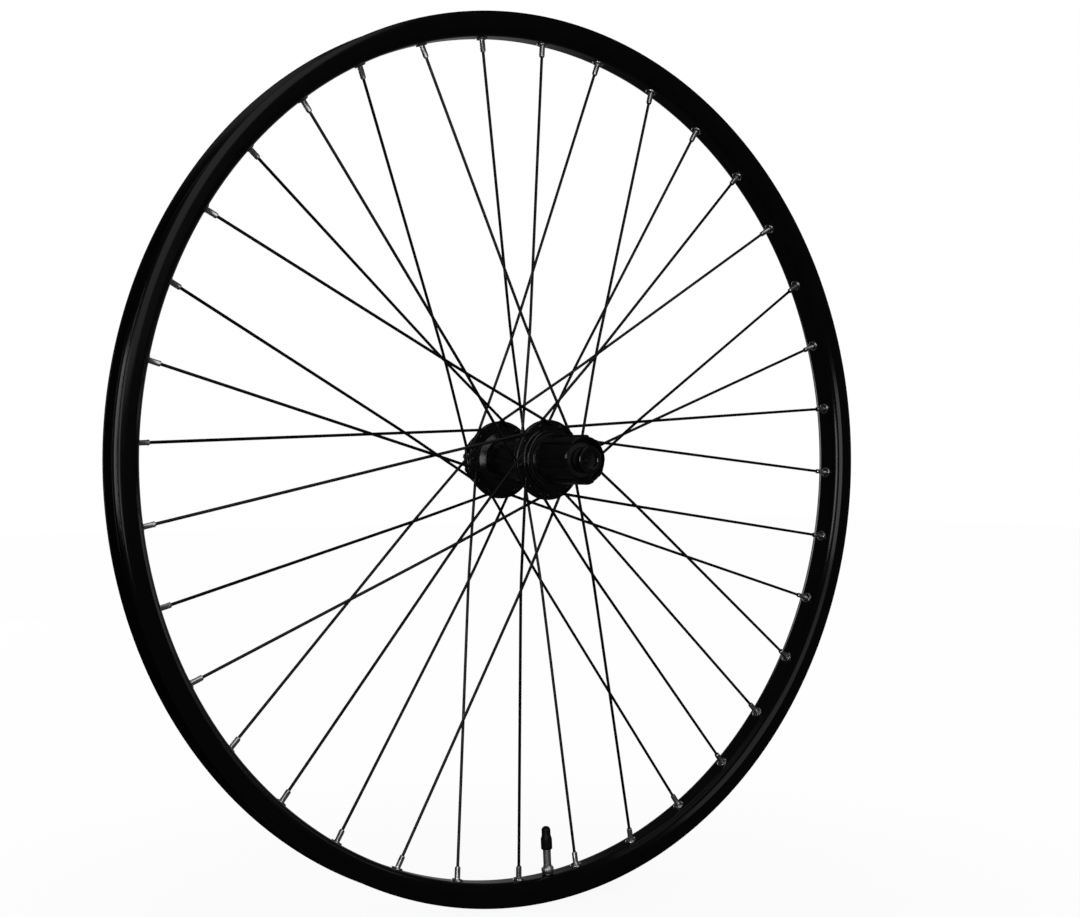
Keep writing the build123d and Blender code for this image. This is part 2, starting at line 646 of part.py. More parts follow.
def pawl_outline(grow, swing):
    """Side view of a pawl about its pivot: a round heel and a squared tip, turned in by swing."""
    tip = [
        (PAWL_REACH, PAWL_RISE),
        (PAWL_REACH - PAWL_TIP_LEAN, PAWL_RISE - PAWL_TIP_DEPTH),
        (PAWL_REACH - PAWL_NECK_RUN, PAWL_RISE - PAWL_NECK_DEPTH),
    ]
    heel = Circle(PAWL_HEEL_RADIUS)
    hull = make_hull((heel + make_face(Polyline(*tip, close=True))).edges())
    shape = offset(make_face(hull), grow) if grow else make_face(hull)
    return Pos(0, PAWL_PIVOT_RADIUS) * Rotation(0, 0, -swing) * shape


pawl = extrude(pawl_plane * pawl_outline(0, 0), PAWL_WIDTH)
pocket_width = PAWL_WIDTH + 2 * RUNNING
pocket = extrude(pawl_plane.offset(-RUNNING) * pawl_outline(RUNNING / 2, 0), pocket_width)
for share in (0.5, 1.0):
    swung = pawl_plane.offset(-RUNNING) * pawl_outline(RUNNING / 2, PAWL_SWING * share)
    pocket = pocket + extrude(swung, pocket_width)
spring_low = pawl_mid - SPRING_WIRE
spring_high = pawl_mid + SPRING_WIRE
spring_room = ring(spring_in - RUNNING / 2, tip_radius, spring_low, spring_high)
pawl_notch = ring(spring_in - PAWL_NOTCH_ROOM, tip_radius, spring_low, spring_high)
freehub_cuts += around(pocket, PAWL_COUNT)
freehub_cuts.append(spring_room)
save("freehub_body", freehub - freehub_cuts)
for i, piece in enumerate(around(pawl - pawl_notch, PAWL_COUNT)):
    save(f"pawl_{i + 1}", piece)
spring = ring(spring_in, spring_out, pawl_mid - SPRING_WIRE / 2, pawl_mid + SPRING_WIRE / 2)
gap_width = 2 * spring_out * sin(radians(SPRING_GAP_ANGLE / 2))
gap = Pos(0, pawl_mid, spring_out) * Box(gap_width, 2 * SPRING_WIRE, 4 * SPRING_WIRE)
save("pawl_spring", spring - at_station(gap, 180 / PAWL_COUNT))
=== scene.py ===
import math
import bpy
from mathutils import Matrix, Vector


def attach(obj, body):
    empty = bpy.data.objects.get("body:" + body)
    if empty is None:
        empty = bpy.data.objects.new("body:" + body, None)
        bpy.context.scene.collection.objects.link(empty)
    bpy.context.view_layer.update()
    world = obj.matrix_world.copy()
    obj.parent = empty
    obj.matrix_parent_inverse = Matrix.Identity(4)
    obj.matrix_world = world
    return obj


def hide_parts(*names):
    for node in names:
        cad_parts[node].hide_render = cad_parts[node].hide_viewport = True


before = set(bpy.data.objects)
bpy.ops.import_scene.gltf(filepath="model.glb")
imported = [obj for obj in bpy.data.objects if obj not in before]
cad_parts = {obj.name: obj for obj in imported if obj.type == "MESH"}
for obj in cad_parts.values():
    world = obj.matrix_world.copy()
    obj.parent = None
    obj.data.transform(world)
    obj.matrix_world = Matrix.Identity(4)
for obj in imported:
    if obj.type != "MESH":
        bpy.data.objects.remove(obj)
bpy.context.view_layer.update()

mm = 0.001
fullTurn = 2 * math.pi
print("frame loaded,", len(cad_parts), "nodes")


class Wire:  # one shader socket, so that maths on it reads as maths
    def __init__(self, tree, socket):
        self.tree, self.socket = tree, socket

    def calc(self, how, a, b):
        node = self.tree.nodes.new("ShaderNodeMath")
        node.operation = how
        for slot, value in zip(node.inputs, (a, b)):
            if isinstance(value, Wire):
                self.tree.links.new(value.socket, slot)
            else:
                slot.default_value = value
        return Wire(self.tree, node.outputs[0])

    def __add__(self, other):
        return self.calc("ADD", self, other)

    def __radd__(self, other):
        return self.calc("ADD", other, self)

    def __sub__(self, other):
        return self.calc("SUBTRACT", self, other)

    def __rsub__(self, other):
        return self.calc("SUBTRACT", other, self)

    def __mul__(self, other):
        return self.calc("MULTIPLY", self, other)

    def __rmul__(self, other):
        return self.calc("MULTIPLY", other, self)

    def __truediv__(self, other):
        return self.calc("DIVIDE", self, other)

    def __rtruediv__(self, other):
        return self.calc("DIVIDE", other, self)

    def __pow__(self, other):
        return self.calc("POWER", self, other)

    def clipped(self):
        return self.calc("MAXIMUM", self.calc("MINIMUM", self, 1.0), 0.0)


class Shading:  # a node tree, and the one way that nodes are added to it
    def __init__(self, tree):
        self.tree = tree

    def node(self, kind, settings=None, out=0, **values):
        made = self.tree.nodes.new("ShaderNode" + kind)
        for key, value in (settings or {}).items():
            setattr(made, key, value)
        for key, value in values.items():
            numbered = key[0] == "i" and key[1:].isdigit()  # i6 is the input with index 6
            slot = made.inputs[int(key[1:])] if numbered else made.inputs[key]
            if isinstance(value, Wire):
                self.tree.links.new(value.socket, slot)
            else:
                slot.default_value = value
        return Wire(self.tree, made.outputs[out])

    def link(self, wire, nodeName, socket):
        self.tree.links.new(wire.socket, self.tree.nodes[nodeName].inputs[socket])


class Finish(Shading):  # one material: fixed values go on the shader, varying ones are fed to it
    def __init__(self, name, fixed):
        self.material = bpy.data.materials.new(name)
        self.material.use_nodes = True
        super().__init__(self.material.node_tree)
        self.shader = self.tree.nodes["Principled BSDF"]
        for socket, value in fixed.items():
            self.shader.inputs[socket].default_value = value

    def feed(self, socket, wire):
        self.link(wire, "Principled BSDF", socket)

    def place(self):  # where on the piece, in metres, at rest
        return self.node("TexCoord", out="Object")

    def noise(self, scale, detail=3.0, where=None, rough=0.5):
        where = where or self.place()
        return self.node("TexNoise", Vector=where, Scale=scale, Detail=detail, Roughness=rough)

    def tint(self, factor, dark, light):
        return self.node("Mix", {"data_type": "RGBA"}, out=2, i0=factor, i6=(*dark, 1), i7=(*light, 1))

    def bump(self, height, strength, depth):
        self.feed("Normal", self.node("Bump", Height=height, Strength=strength, Distance=depth))

    def axleParts(self):  # distance from the axle and place along it
        where = self.place()
        x, y, z = (self.node("SeparateXYZ", out=i, Vector=where) for i in range(3))
        return (x * x + z * z) ** 0.5, y


# Finishes: a cloudy tone, a roughness that follows it, and lathe rings or a fine grain as bump
bumpDepth = 0.0001
ringSet = {"detail": 4.0, "rough": 0.7}
finishSet = {
    "rim": {
        "name": "rimBlackGloss",
        "fixed": {"Metallic": 0.0, "IOR": 1.28, "Coat Roughness": 0.1, "Coat IOR": 1.3},
        "coat": (0.05, 0.05),  # the least weight, and what the cloud adds
        "cloud": 30.0, "dark": (0.0012, 0.0012, 0.0013), "light": (0.0026, 0.0026, 0.0027),
        "rough": 0.11, "cloudRough": 0.05, "rings": 900.0, "ringRough": 0.03, "bump": 0.03,
    },
    "wire": {
        "name": "spokeBlackWire", "fixed": {"Metallic": 0.0, "IOR": 1.35},
        "cloud": 160.0, "dark": (0.0014, 0.0014, 0.0014), "light": (0.0032, 0.0032, 0.0032),
        "rough": 0.18, "cloudRough": 0.10, "grain": (2600.0, 2.0), "bump": 0.05,
    },
    "nickel": {
        "name": "nickelPlate", "fixed": {"Metallic": 1.0},
        "cloud": 700.0, "dark": (0.52, 0.515, 0.51), "light": (0.72, 0.715, 0.71),
        "rough": 0.28, "cloudRough": 0.14, "grain": (4200.0, 2.0), "bump": 0.06,
    },
    "nipple": {
        "name": "nippleBrightNickel", "fixed": {"Metallic": 1.0},
        "cloud": 900.0, "dark": (0.60, 0.595, 0.59), "light": (0.80, 0.795, 0.79),
        "rough": 0.22, "cloudRough": 0.14, "grain": (4200.0, 2.0), "bump": 0.05,
    },
    "eyelet": {
        "name": "eyeletPressedSteel", "fixed": {"Metallic": 1.0},
        "cloud": 800.0, "dark": (0.34, 0.335, 0.33), "light": (0.50, 0.495, 0.49),
        "rough": 0.20, "cloudRough": 0.12, "grain": (3600.0, 2.0), "bump": 0.05,
    },
    "hub": {
        "name": "hubBlackSatin", "fixed": {"Metallic": 0.0, "IOR": 1.5},
        "cloud": 90.0, "dark": (0.0016, 0.0016, 0.0017), "light": (0.0036, 0.0036, 0.0038),
        "rough": 0.13, "cloudRough": 0.07, "rings": 2200.0, "ringRough": 0.04, "bump": 0.05,
    },
    "freehub": {
        "name": "freehubDarkSteel", "fixed": {"Metallic": 0.0, "IOR": 1.34},
        "cloud": 140.0, "dark": (0.0020, 0.0020, 0.0021), "light": (0.0046, 0.0046, 0.0048),
        "rough": 0.17, "cloudRough": 0.08, "rings": 1800.0, "ringRough": 0.05, "bump": 0.06,
    },
    "steel": {
        "name": "groundSteel", "fixed": {"Metallic": 1.0},
        "cloud": 300.0, "dark": (0.10, 0.10, 0.105), "light": (0.17, 0.17, 0.175),
        "rough": 0.30, "cloudRough": 0.10, "rings": 3000.0, "ringRough": 0.08, "bump": 0.08,
    },
    "alloy": {
        "name": "axleAlloy", "fixed": {"Metallic": 1.0},
        "cloud": 220.0, "dark": (0.36, 0.36, 0.37), "light": (0.50, 0.50, 0.51),
        "rough": 0.34, "cloudRough": 0.12, "rings": 2400.0, "ringRough": 0.0, "bump": 0.10,
    },
    "rubber": {
        "name": "mouldedRubber", "fixed": {"Metallic": 0.0, "IOR": 1.45},
        "cloud": 400.0, "dark": (0.010, 0.010, 0.010), "light": (0.022, 0.022, 0.022),
        "rough": 0.62, "cloudRough": 0.2, "grain": (6000.0, 2.0), "bump": 0.12,
    },
    "plastic": {
        "name": "capPlastic", "fixed": {"Metallic": 0.0, "IOR": 1.3},
        "cloud": 500.0, "dark": (0.0014, 0.0014, 0.0014), "light": (0.0034, 0.0034, 0.0034),
        "rough": 0.34, "cloudRough": 0.14, "grain": (5200.0, 3.0), "bump": 0.10,
    },
    "tape": {
        "name": "rimTapeFilm", "fixed": {"Metallic": 0.0, "IOR": 1.5},
        "cloud": 120.0, "dark": (0.010, 0.010, 0.011), "light": (0.024, 0.024, 0.026),
        "rough": 0.30, "cloudRough": 0.2, "grain": (260.0, 4.0), "bump": 0.15, "depth": 0.0003,
    },
}


def turnedRings(finish, scale):  # fine rings left by the lathe or the extruding die
    radius, y = finish.axleParts()
    across = finish.node("CombineXYZ", X=radius, Y=y, Z=0.0)
    return finish.noise(scale, ringSet["detail"], across, ringSet["rough"])


def makeFinish(look):
    f = Finish(look["name"], look["fixed"])
    cloud = f.noise(look["cloud"])
    rough = look["rough"] + cloud * look["cloudRough"]
    if "rings" in look:
        relief = turnedRings(f, look["rings"])
        rough = rough + relief * look["ringRough"]
    else:
        relief = f.noise(*look["grain"])  # scale and detail
    f.feed("Base Color", f.tint(cloud, look["dark"], look["light"]))
    f.feed("Roughness", rough)
    f.bump(relief, look["bump"], look.get("depth", bumpDepth))
    if "coat" in look:
        least, cloudy = look["coat"]
        f.feed("Coat Weight", least + cloud * cloudy)
    return f.material


finishes = {key: makeFinish(look) for key, look in finishSet.items()}
print("finishes", len(finishes))


def addPiece(name, verts, faces, finish, body, stands=(), sharp=35):
    mesh = bpy.data.meshes.new(name)
    mesh.from_pydata([tuple(v) for v in verts], [], faces)
    mesh.validate()
    mesh.update()
    mesh.shade_smooth()
    mesh.set_sharp_from_angle(angle=math.radians(sharp))
    piece = bpy.data.objects.new(name, mesh)
    bpy.context.scene.collection.objects.link(piece)
    mesh.materials.append(finishes[finish])
    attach(piece, body)
    if stands:
        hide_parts(*stands)
    return piece


def around(sides):  # even angles of one turn
    return [fullTurn * k / sides for k in range(sides)]


def bandFaces(rows, sides):  # quads between rows of points that each close on themselves
    faces = []
    for i in range(rows - 1):
        for k in range(sides):
            j = (k + 1) % sides
            faces.append((i * sides + k, i * sides + j, (i + 1) * sides + j, (i + 1) * sides + k))
    return faces


def merged(parts):
    verts, faces = [], []
    for partVerts, partFaces in parts:
        start = len(verts)
        verts += partVerts
        faces += [tuple(i + start for i in face) for face in partFaces]
    return verts, faces


def turnAbout(angle):  # a station on the wheel, in degrees from the top toward +X
    return Matrix.Rotation(math.radians(angle), 4, "Y")


def easedCorner(a, b, c, reach, steps):  # a curve that leaves one run and joins the next
    start, end = b + (a - b).normalized() * reach, b + (c - b).normalized() * reach
    curve = []
    for k in range(steps + 1):
        t = k / steps
        curve.append(start * (1 - t) ** 2 + b * 2 * t * (1 - t) + end * t * t)
    return curve


roundSet = {"straight": 176.0, "share": 0.45, "leastTangent": 0.05}


def rounded(points, radius, steps):  # a closed outline with round corners
    # a point's third value is its own radius
    out = []
    for i, point in enumerate(points):
        a, b, c = (Vector(p[:2]) for p in (points[i - 1], point, points[(i + 1) % len(points)]))
        into, away = a - b, c - b
        angle = into.angle(away)
        if angle > math.radians(roundSet["straight"]):
            out.append(b)
            continue
        bend = point[2] if len(point) > 2 else radius
        reach = bend / max(math.tan(angle / 2), roundSet["leastTangent"])
        reach = min(reach, into.length * roundSet["share"], away.length * roundSet["share"])
        out += easedCorner(a, b, c, reach, steps)
    return out


def spun(outline, segments, wobble=None):  # closed outline of (radius, y) in mm, turned on the axle
    verts, faces = [], []
    count = len(outline)
    for angle in around(segments):
        for r, y in outline:
            q = wobble(r, y, angle) if wobble else r
            verts.append((q * math.sin(angle) * mm, y * mm, q * math.cos(angle) * mm))
    for step in range(segments):
        a, b = step * count, (step + 1) % segments * count
        for i in range(count):
            j = (i + 1) % count
            faces.append((a + i, a + j, b + j, b + i))
    return verts, faces


# Rim: a smooth spun section with a ramp below each side and sides that lean in at the lips
rimSet = {
    "outer": 317.0, "beadSeat": 311.0, "well": 307.4, "face": 300.4, "halfWidth": 13.05, "halfFace": 5.4,
    "halfWell": 6.3, "middleGap": 0.01,
    "flankDepth": 7.8, "flankBulge": (0.34, 0.66), "rampFoot": (303.7, 11.2), "rampHead": (306.0, 12.92),
    "rampGap": 0.5, "rampShares": (0, 0.08, 0.92, 1), "sideStart": (0.5, 1.0), "sideEnd": 0.3,
    "lip": 2.35, "lipRound": 0.7, "lipCurveStart": 312.0, "lipCurve": 13.0, "innerRound": 0.5,
    "shelf": 2.4, "seatRound": 0.5, "seatEase": 0.15, "shelfEdge": 0.3, "wellEdge": (0.3, 0.15, 0.2),
    "faceSteps": 4, "flankSteps": 10, "leanSteps": 6, "tipSteps": 5, "innerSteps": 3, "segments": 360,
    "stations": 36, "valveAngle": 177.0, "firstFromValve": 175.0, "stagger": 0.5,
}
firstStation = rimSet["valveAngle"] + rimSet["firstFromValve"]
stationPitch = 360 / rimSet["stations"]


def circleThrough(a, b, c):
    d = 2 * (a[0] * (b[1] - c[1]) + b[0] * (c[1] - a[1]) + c[0] * (a[1] - b[1]))
    sa, sb, sc = (p[0] ** 2 + p[1] ** 2 for p in (a, b, c))
    ux = (sa * (b[1] - c[1]) + sb * (c[1] - a[1]) + sc * (a[1] - b[1])) / d
    uy = (sa * (c[0] - b[0]) + sb * (a[0] - c[0]) + sc * (b[0] - a[0])) / d
    return ux, uy, math.hypot(a[0] - ux, a[1] - uy)


def flankArc():  # both ends of the round flank, and its circle
    r = rimSet
    up, out = r["flankBulge"]
    start = (r["face"], r["halfFace"])
    end = (r["face"] + r["flankDepth"], r["halfWidth"])
    middle = (r["face"] + r["flankDepth"] * up, r["halfFace"] + (r["halfWidth"] - r["halfFace"]) * out)
    return start, end, circleThrough(start, middle, end)


flankStart, flankEnd, (flankR, flankY, flankRadius) = flankArc()


def rimSurface(y):  # radius of the spoke side at a distance from the middle plane
    y = abs(y)
    if y <= rimSet["halfFace"]:
        return rimSet["face"]
    return flankR - math.sqrt(max(flankRadius ** 2 - (min(y, rimSet["halfWidth"]) - flankY) ** 2, 0.0))


def rimSpokeSide():  # half of the section, from the middle of the face out to the side
    s = rimSet
    half = [(s["face"], s["halfFace"] * i / s["faceSteps"] + s["middleGap"]) for i in range(s["faceSteps"])]
    start = math.atan2(flankStart[1] - flankY, flankStart[0] - flankR)
    end = math.atan2(flankEnd[1] - flankY, flankEnd[0] - flankR)
    sweep = (end - start + math.pi) % fullTurn - math.pi
    for i in range(s["flankSteps"] + 1):
        a = start + sweep * i / s["flankSteps"]
        r, y = flankR + flankRadius * math.cos(a), flankY + flankRadius * math.sin(a)
        if r < s["rampFoot"][0] - s["rampGap"]:
            half.append((r, y))
    foot, head = Vector(s["rampFoot"]), Vector(s["rampHead"])
    half += [tuple(foot.lerp(head, share)) for share in s["rampShares"]]  # a flat ramp up to the side
    half += [(head.x + gap, s["halfWidth"]) for gap in s["sideStart"]]
    return half + [(s["lipCurveStart"] - s["sideEnd"], s["halfWidth"])]


def rimTyreSide():  # the rest of that half, over the lip and down into the well
    s = rimSet
    tip, curve, top = s["lipRound"], s["lipCurve"], s["outer"]
    # the side's curve meets the lip's round at this angle
    lean = math.asin((top - tip - s["lipCurveStart"]) / (curve - tip))
    half = []
    for i in range(s["leanSteps"] + 1):
        a = lean * i / s["leanSteps"]
        half.append((s["lipCurveStart"] + curve * math.sin(a), s["halfWidth"] - curve * (1 - math.cos(a))))
    tipY = s["halfWidth"] - curve * (1 - math.cos(lean)) - tip * math.cos(lean)
    for i in range(1, s["tipSteps"] + 1):
        a = lean + (math.pi / 2 - lean) * i / s["tipSteps"]
        half.append((top - tip + tip * math.sin(a), tipY + tip * math.cos(a)))
    inside, inner = s["halfWidth"] - s["lip"], s["innerRound"]
    for i in range(1, s["innerSteps"] + 1):
        a = math.pi / 2 * i / s["innerSteps"]
        half.append((top - inner + inner * math.cos(a), inside + inner - inner * math.sin(a)))
    seat, ease, shelfY = s["beadSeat"], s["seatEase"], inside - s["shelf"]
    half += [(seat + s["seatRound"], inside), (seat + ease, inside - ease), (seat, inside - s["seatRound"])]
    half += [(seat, shelfY + s["shelfEdge"]), (seat - s["shelfEdge"], shelfY)]
    lift, outward, inward = s["wellEdge"]
    half += [(s["well"] + lift, s["halfWell"] + outward), (s["well"], s["halfWell"] - inward)]
    return half + [(s["well"], s["middleGap"])]


def makeRim():
    half = rimSpokeSide() + rimTyreSide()
    outline = half + [(r, -y) for r, y in reversed(half)]
    verts, faces = spun(outline, rimSet["segments"])
    addPiece("rimShell", verts, faces, "rim", "wheel", ["rim"], sharp=40)


makeRim()

# Eyelets: a polished ring with a rolled edge pressed into every nipple hole
eyeletSet = {
    "hole": 2.5, "mouth": 2.95, "outer": 4.1, "rise": 1.2, "roll": 0.57, "sunk": 0.25,
    "rollSteps": 8, "sides": 32,
    "collarShare": 0.2, "skirtShare": 0.4, "skirtLift": 0.05, "skirtFlare": (0.05, 0.2, 0.25),
}


def eyeletProfile():  # distance from the hole's line and height over the rim, from the hole outward
    e = eyeletSet
    inner, outer, crown = e["mouth"] + e["roll"], e["outer"] - e["roll"], e["rise"] - e["roll"]
    profile = [(e["hole"], -e["sunk"]), (e["hole"], crown * e["collarShare"])]
    for i in range(e["rollSteps"] + 1):
        a = math.pi * i / e["rollSteps"]
        middle = inner if a < math.pi / 2 else outer
        profile.append((middle - e["roll"] * math.cos(a), crown + e["roll"] * math.sin(a)))
    skirtLevels = (crown * e["skirtShare"], e["skirtLift"], -e["sunk"])
    return profile + [(e["outer"] + flare, level) for flare, level in zip(e["skirtFlare"], skirtLevels)]


def makeEyelets():
    sides = eyeletSet["sides"]
    profile = eyeletProfile()
    faces = bandFaces(len(profile), sides)
    parts = []
    for k in range(rimSet["stations"]):
        turn = turnAbout(firstStation + k * stationPitch)
        middle = rimSet["stagger"] if k % 2 == 0 else -rimSet["stagger"]
        verts = []
        for rho, rise in profile:
            for a in around(sides):
                x, y = rho * math.cos(a), middle + rho * math.sin(a)
                level = rimSurface(y) - rise
                verts.append(turn @ (Vector((x, y, math.sqrt(level ** 2 - x ** 2))) * mm))
        parts.append((verts, faces))
    verts, faces = merged(parts)
    addPiece("eyelets", verts, faces, "eyelet", "wheel", sharp=50)


makeEyelets()

# Tape: a thin closed band over the well
tapeSet = {"bottom": 307.6, "thick": 0.4, "half": 6.0, "edge": 0.1, "edgeSteps": 2, "segments": 240}


def makeTape():
    t = tapeSet
    low, high, half = t["bottom"], t["bottom"] + t["thick"], t["half"]
    band = rounded([(low, -half), (high, -half), (high, half), (low, half)], t["edge"], t["edgeSteps"])
    verts, faces = spun(band, t["segments"])
    addPiece("tapeBand", verts, faces, "tape", "wheel", ["rim_tape"])


makeTape()
print("rim and tape")

# Spokes and nipples, on the same lines as the solids
flangeSet = {"disc": 37.2, "drive": -21.8, "half": 1.6, "radius": 28.5, "holeCircle": 25.0}
spokeSet = {
    "radius": 1.06, "elbowBend": 2.6, "weaveBend": 14.0, "bendSteps": 8, "bendShare": 0.48, "sides": 14,
    "wallMiddle": 301.0, "lacing": 60.0, "crossAngle": 10.0, "wireReach": 1.05,
    "elbowRoom": 0.06, "crossRoom": 0.04,
    "headRadius": 2.0, "headHeight": 1.3, "headBrim": 1.1, "headEdge": 0.1, "headStep": 0.05,
    "headDome": ((0.0, 0.5), (0.05, 0.9), (0.3, 1.5), (0.7, 1.9)),  # height, radius
}
nippleSet = {
    "length": 14.0, "headHeight": 2.2, "headRadius": 3.0, "round": 2.0, "flats": 1.7, "spokeWall": 2.0,
    "threadShort": 0.8, "slip": 0.05, "sides": 32, "bore": 1.12, "boreDepth": 2.0,
    "headChamfer": 0.5, "headEase": 0.4, "seatStep": 0.5, "collar": 0.9,
    "flatsStart": 3.0, "flatsStop": 1.3, "flatsEase": 0.4, "tipEdge": 0.3, "tipDrops": (0.1, 0.15, 0.45),
}
spokeGroups = (  # name, flange, way round the hub, elbow outside the flange, first station
    ("disc_trailing", "disc", 1, False, 0),
    ("disc_leading", "disc", -1, True, 2),
    ("drive_leading", "drive", -1, False, 1),
    ("drive_trailing", "drive", 1, True, 3),
)


def spokeLine(flangeY, turn, outer):
    s, n, flange = spokeSet, nippleSet, flangeSet
    side, depth = (1, flangeY) if flangeY > 0 else (-1, -flangeY)
    reach = s["radius"] * s["wireReach"]
    hx = flange["holeCircle"] * math.sin(math.radians(s["lacing"]))
    hz = flange["holeCircle"] * math.cos(math.radians(s["lacing"]))
    slope = math.tan(math.radians(s["crossAngle"]))
    wall, stagger = s["wallMiddle"], rimSet["stagger"]
    share = slope * wall / (hx + slope * (wall - hz))
    run = math.hypot(hx, wall - hz)
    inward = (-hx * hx + hz * (wall - hz)) / run
    edgeRun = -inward + math.sqrt(inward ** 2 + flange["radius"] ** 2 - flange["holeCircle"] ** 2)
    edgeShare = edgeRun / (run * (1 - share))
    cross = depth * share + stagger * (1 - share) + (-1 if outer else 1) * (reach + s["crossRoom"])
    if outer:
        room = reach + s["elbowRoom"] + edgeShare * (depth + flange["half"] - cross)
        elbow = depth + flange["half"] + room / (1 - edgeShare)
        head, way = depth - flange["half"], -1
    else:
        elbow = depth - flange["half"] - reach - s["elbowRoom"]
        head, way = depth + flange["half"], 1
    weave = Vector((turn * hx * share, side * cross, wall + (hz - wall) * share))
    seat = Vector((0, side * stagger, wall))
    down = (weave - seat).normalized()
    tilt = math.hypot(down.x, down.y)
    seatUp = n["spokeWall"] / 2 + n["headRadius"] * tilt + n["slip"]
    top = seatUp + n["headHeight"]
    points = [
        Vector((turn * hx, side * (head + way * s["headHeight"]), hz)),
        Vector((turn * hx, side * elbow, hz)),
        weave,
        seat - down * (top - n["threadShort"]),
    ]
    return points, seat, down, seatUp, top


def bentPath(points, bends):  # straight runs with each inner corner eased over its own reach
    share = spokeSet["bendShare"]
    path = [points[0]]
    for a, b, c, bend in zip(points, points[1:], points[2:], bends):
        reach = min(bend, (a - b).length * share, (c - b).length * share)
        path += easedCorner(a, b, c, reach, spokeSet["bendSteps"])
    return path + [points[-1]]


def sweptTube(path, radii, sides):
    verts = []
    tangent = (path[1] - path[0]).normalized()
    across = tangent.orthogonal().normalized()
    for i, p in enumerate(path):
        if 0 < i < len(path) - 1:
            nextTangent = ((path[i + 1] - p).normalized() + (p - path[i - 1]).normalized()).normalized()
        else:
            nextTangent = (path[-1] - path[-2]).normalized() if i else tangent
        across = tangent.rotation_difference(nextTangent) @ across
        tangent = nextTangent
        other = tangent.cross(across)
        verts += [(p + (across * math.cos(a) + other * math.sin(a)) * radii[i]) * mm for a in around(sides)]
    faces = bandFaces(len(path), sides)
    faces.append(tuple(reversed(range(sides))))
    faces.append(tuple((len(path) - 1) * sides + k for k in range(sides)))
    return verts, faces


def spokeTube(points):  # the wire with its domed head
    s = spokeSet
    path = bentPath(points, (s["elbowBend"], s["weaveBend"]))
    headWay = (points[1] - points[0]).normalized()
    rises = [rise for rise, radius in s["headDome"]]
    rises += [s["headBrim"], s["headHeight"], s["headHeight"] + s["headStep"]]
    radii = [radius for rise, radius in s["headDome"]]
    radii += [s["headRadius"], s["headRadius"] - s["headEdge"], s["radius"]]
    line = [points[0] + headWay * rise for rise in rises] + path[1:]
    return sweptTube(line, radii + [s["radius"]] * (len(path) - 1), s["sides"])


def nippleMesh(seat, down, seatUp, top):
    n = nippleSet
    across = Vector((1, 0, 0))
    across = (across - down * across.dot(down)).normalized()
    other = down.cross(across)
    low = n["length"] - top
    body, bore, head = n["round"], n["bore"], n["headRadius"]
    flatsEnd = low - n["flatsStop"]
    shoulder, edge, tip = n["tipDrops"]
    rings = [  # place along the spoke, radius, and whether it has spanner flats
        (-top, bore, False), (-top, head - n["headChamfer"], False), (-top + n["headEase"], head, False),
        (-seatUp - n["seatStep"], head, False), (-seatUp, body, False), (n["collar"], body, False),
        (n["flatsStart"] - n["flatsEase"], body, False), (n["flatsStart"], body, True),
        (flatsEnd, body, True), (flatsEnd + n["flatsEase"], body - shoulder, False),
        (low - n["tipEdge"], body - edge, False), (low, body - tip, False),
        (low, bore, False), (low - n["boreDepth"], bore, False),
    ]
    quarter = math.pi / 2
    verts = []
    for z, radius, flat in rings:
        for a in around(n["sides"]):
            fromFlat = (a + quarter / 2) % quarter - quarter / 2
            r = min(radius, n["flats"] / math.cos(fromFlat)) if flat else radius
            verts.append((seat + down * z + (across * math.cos(a) + other * math.sin(a)) * r) * mm)
    return verts, bandFaces(len(rings), n["sides"])


def repeated(part, slot):  # one part at every fourth station
    verts, faces = part
    parts = []
    for k in range(slot, rimSet["stations"], len(spokeGroups)):
        turned = turnAbout(firstStation + k * stationPitch)
        parts.append(([turned @ v for v in verts], faces))
    return merged(parts)


def makeSpokes():
    for name, flange, turn, outer, slot in spokeGroups:
        points, seat, down, seatUp, top = spokeLine(flangeSet[flange], turn, outer)
        verts, faces = repeated(spokeTube(points), slot)
        stands = ["spokes_" + name]
        addPiece("spokeWires_" + name, verts, faces, "wire", "wheel", stands, sharp=50)
        verts, faces = repeated(nippleMesh(seat, down, seatUp, top), slot)
        stands = ["nipples_" + name]
        addPiece("nippleRow_" + name, verts, faces, "nipple", "wheel", stands, sharp=40)


makeSpokes()
print("spokes and nipples")

# Valve, along its own line from the spoke face toward the axle
valveSet = {
    "face": 300.0, "stem": 2.95, "stemBore": 1.5, "stemTop": 27.0, "stemBottom": -10.5, "stemTaper": 0.3,
    "coreBore": 2.1, "coreDepth": 4.0, "threadPitch": 0.8, "threadDepth": 0.16, "threadPast": 3.0,
    "threadCrest": 0.25, "threadRoot": 0.75, "sides": 32,
}
nutSet = {
    "base": 1.58, "top": 5.78, "radius": 4.6, "bore": 3.05, "boreChamfer": (0.2, 0.3), "sides": 96,
    "knurls": 20, "knurlDepth": 0.16, "knurlBase": 0.5, "knurlTop": 1.0,
    # drop from the radius, with the height over the base and then the depth under the top
    "lower": ((0.6, 0.0), (0.1, 0.4), (0.0, 0.7), (0.0, 1.6), (0.06, 2.2)),
    "upper": ((0.24, 1.4), (0.6, 0.8), (1.1, 0.25), (1.3, 0.0)),
}
sealSet = {"middle": 3.65, "level": 0.83, "halfWidth": 0.65, "halfHeight": 0.75, "steps": 16, "sides": 40}
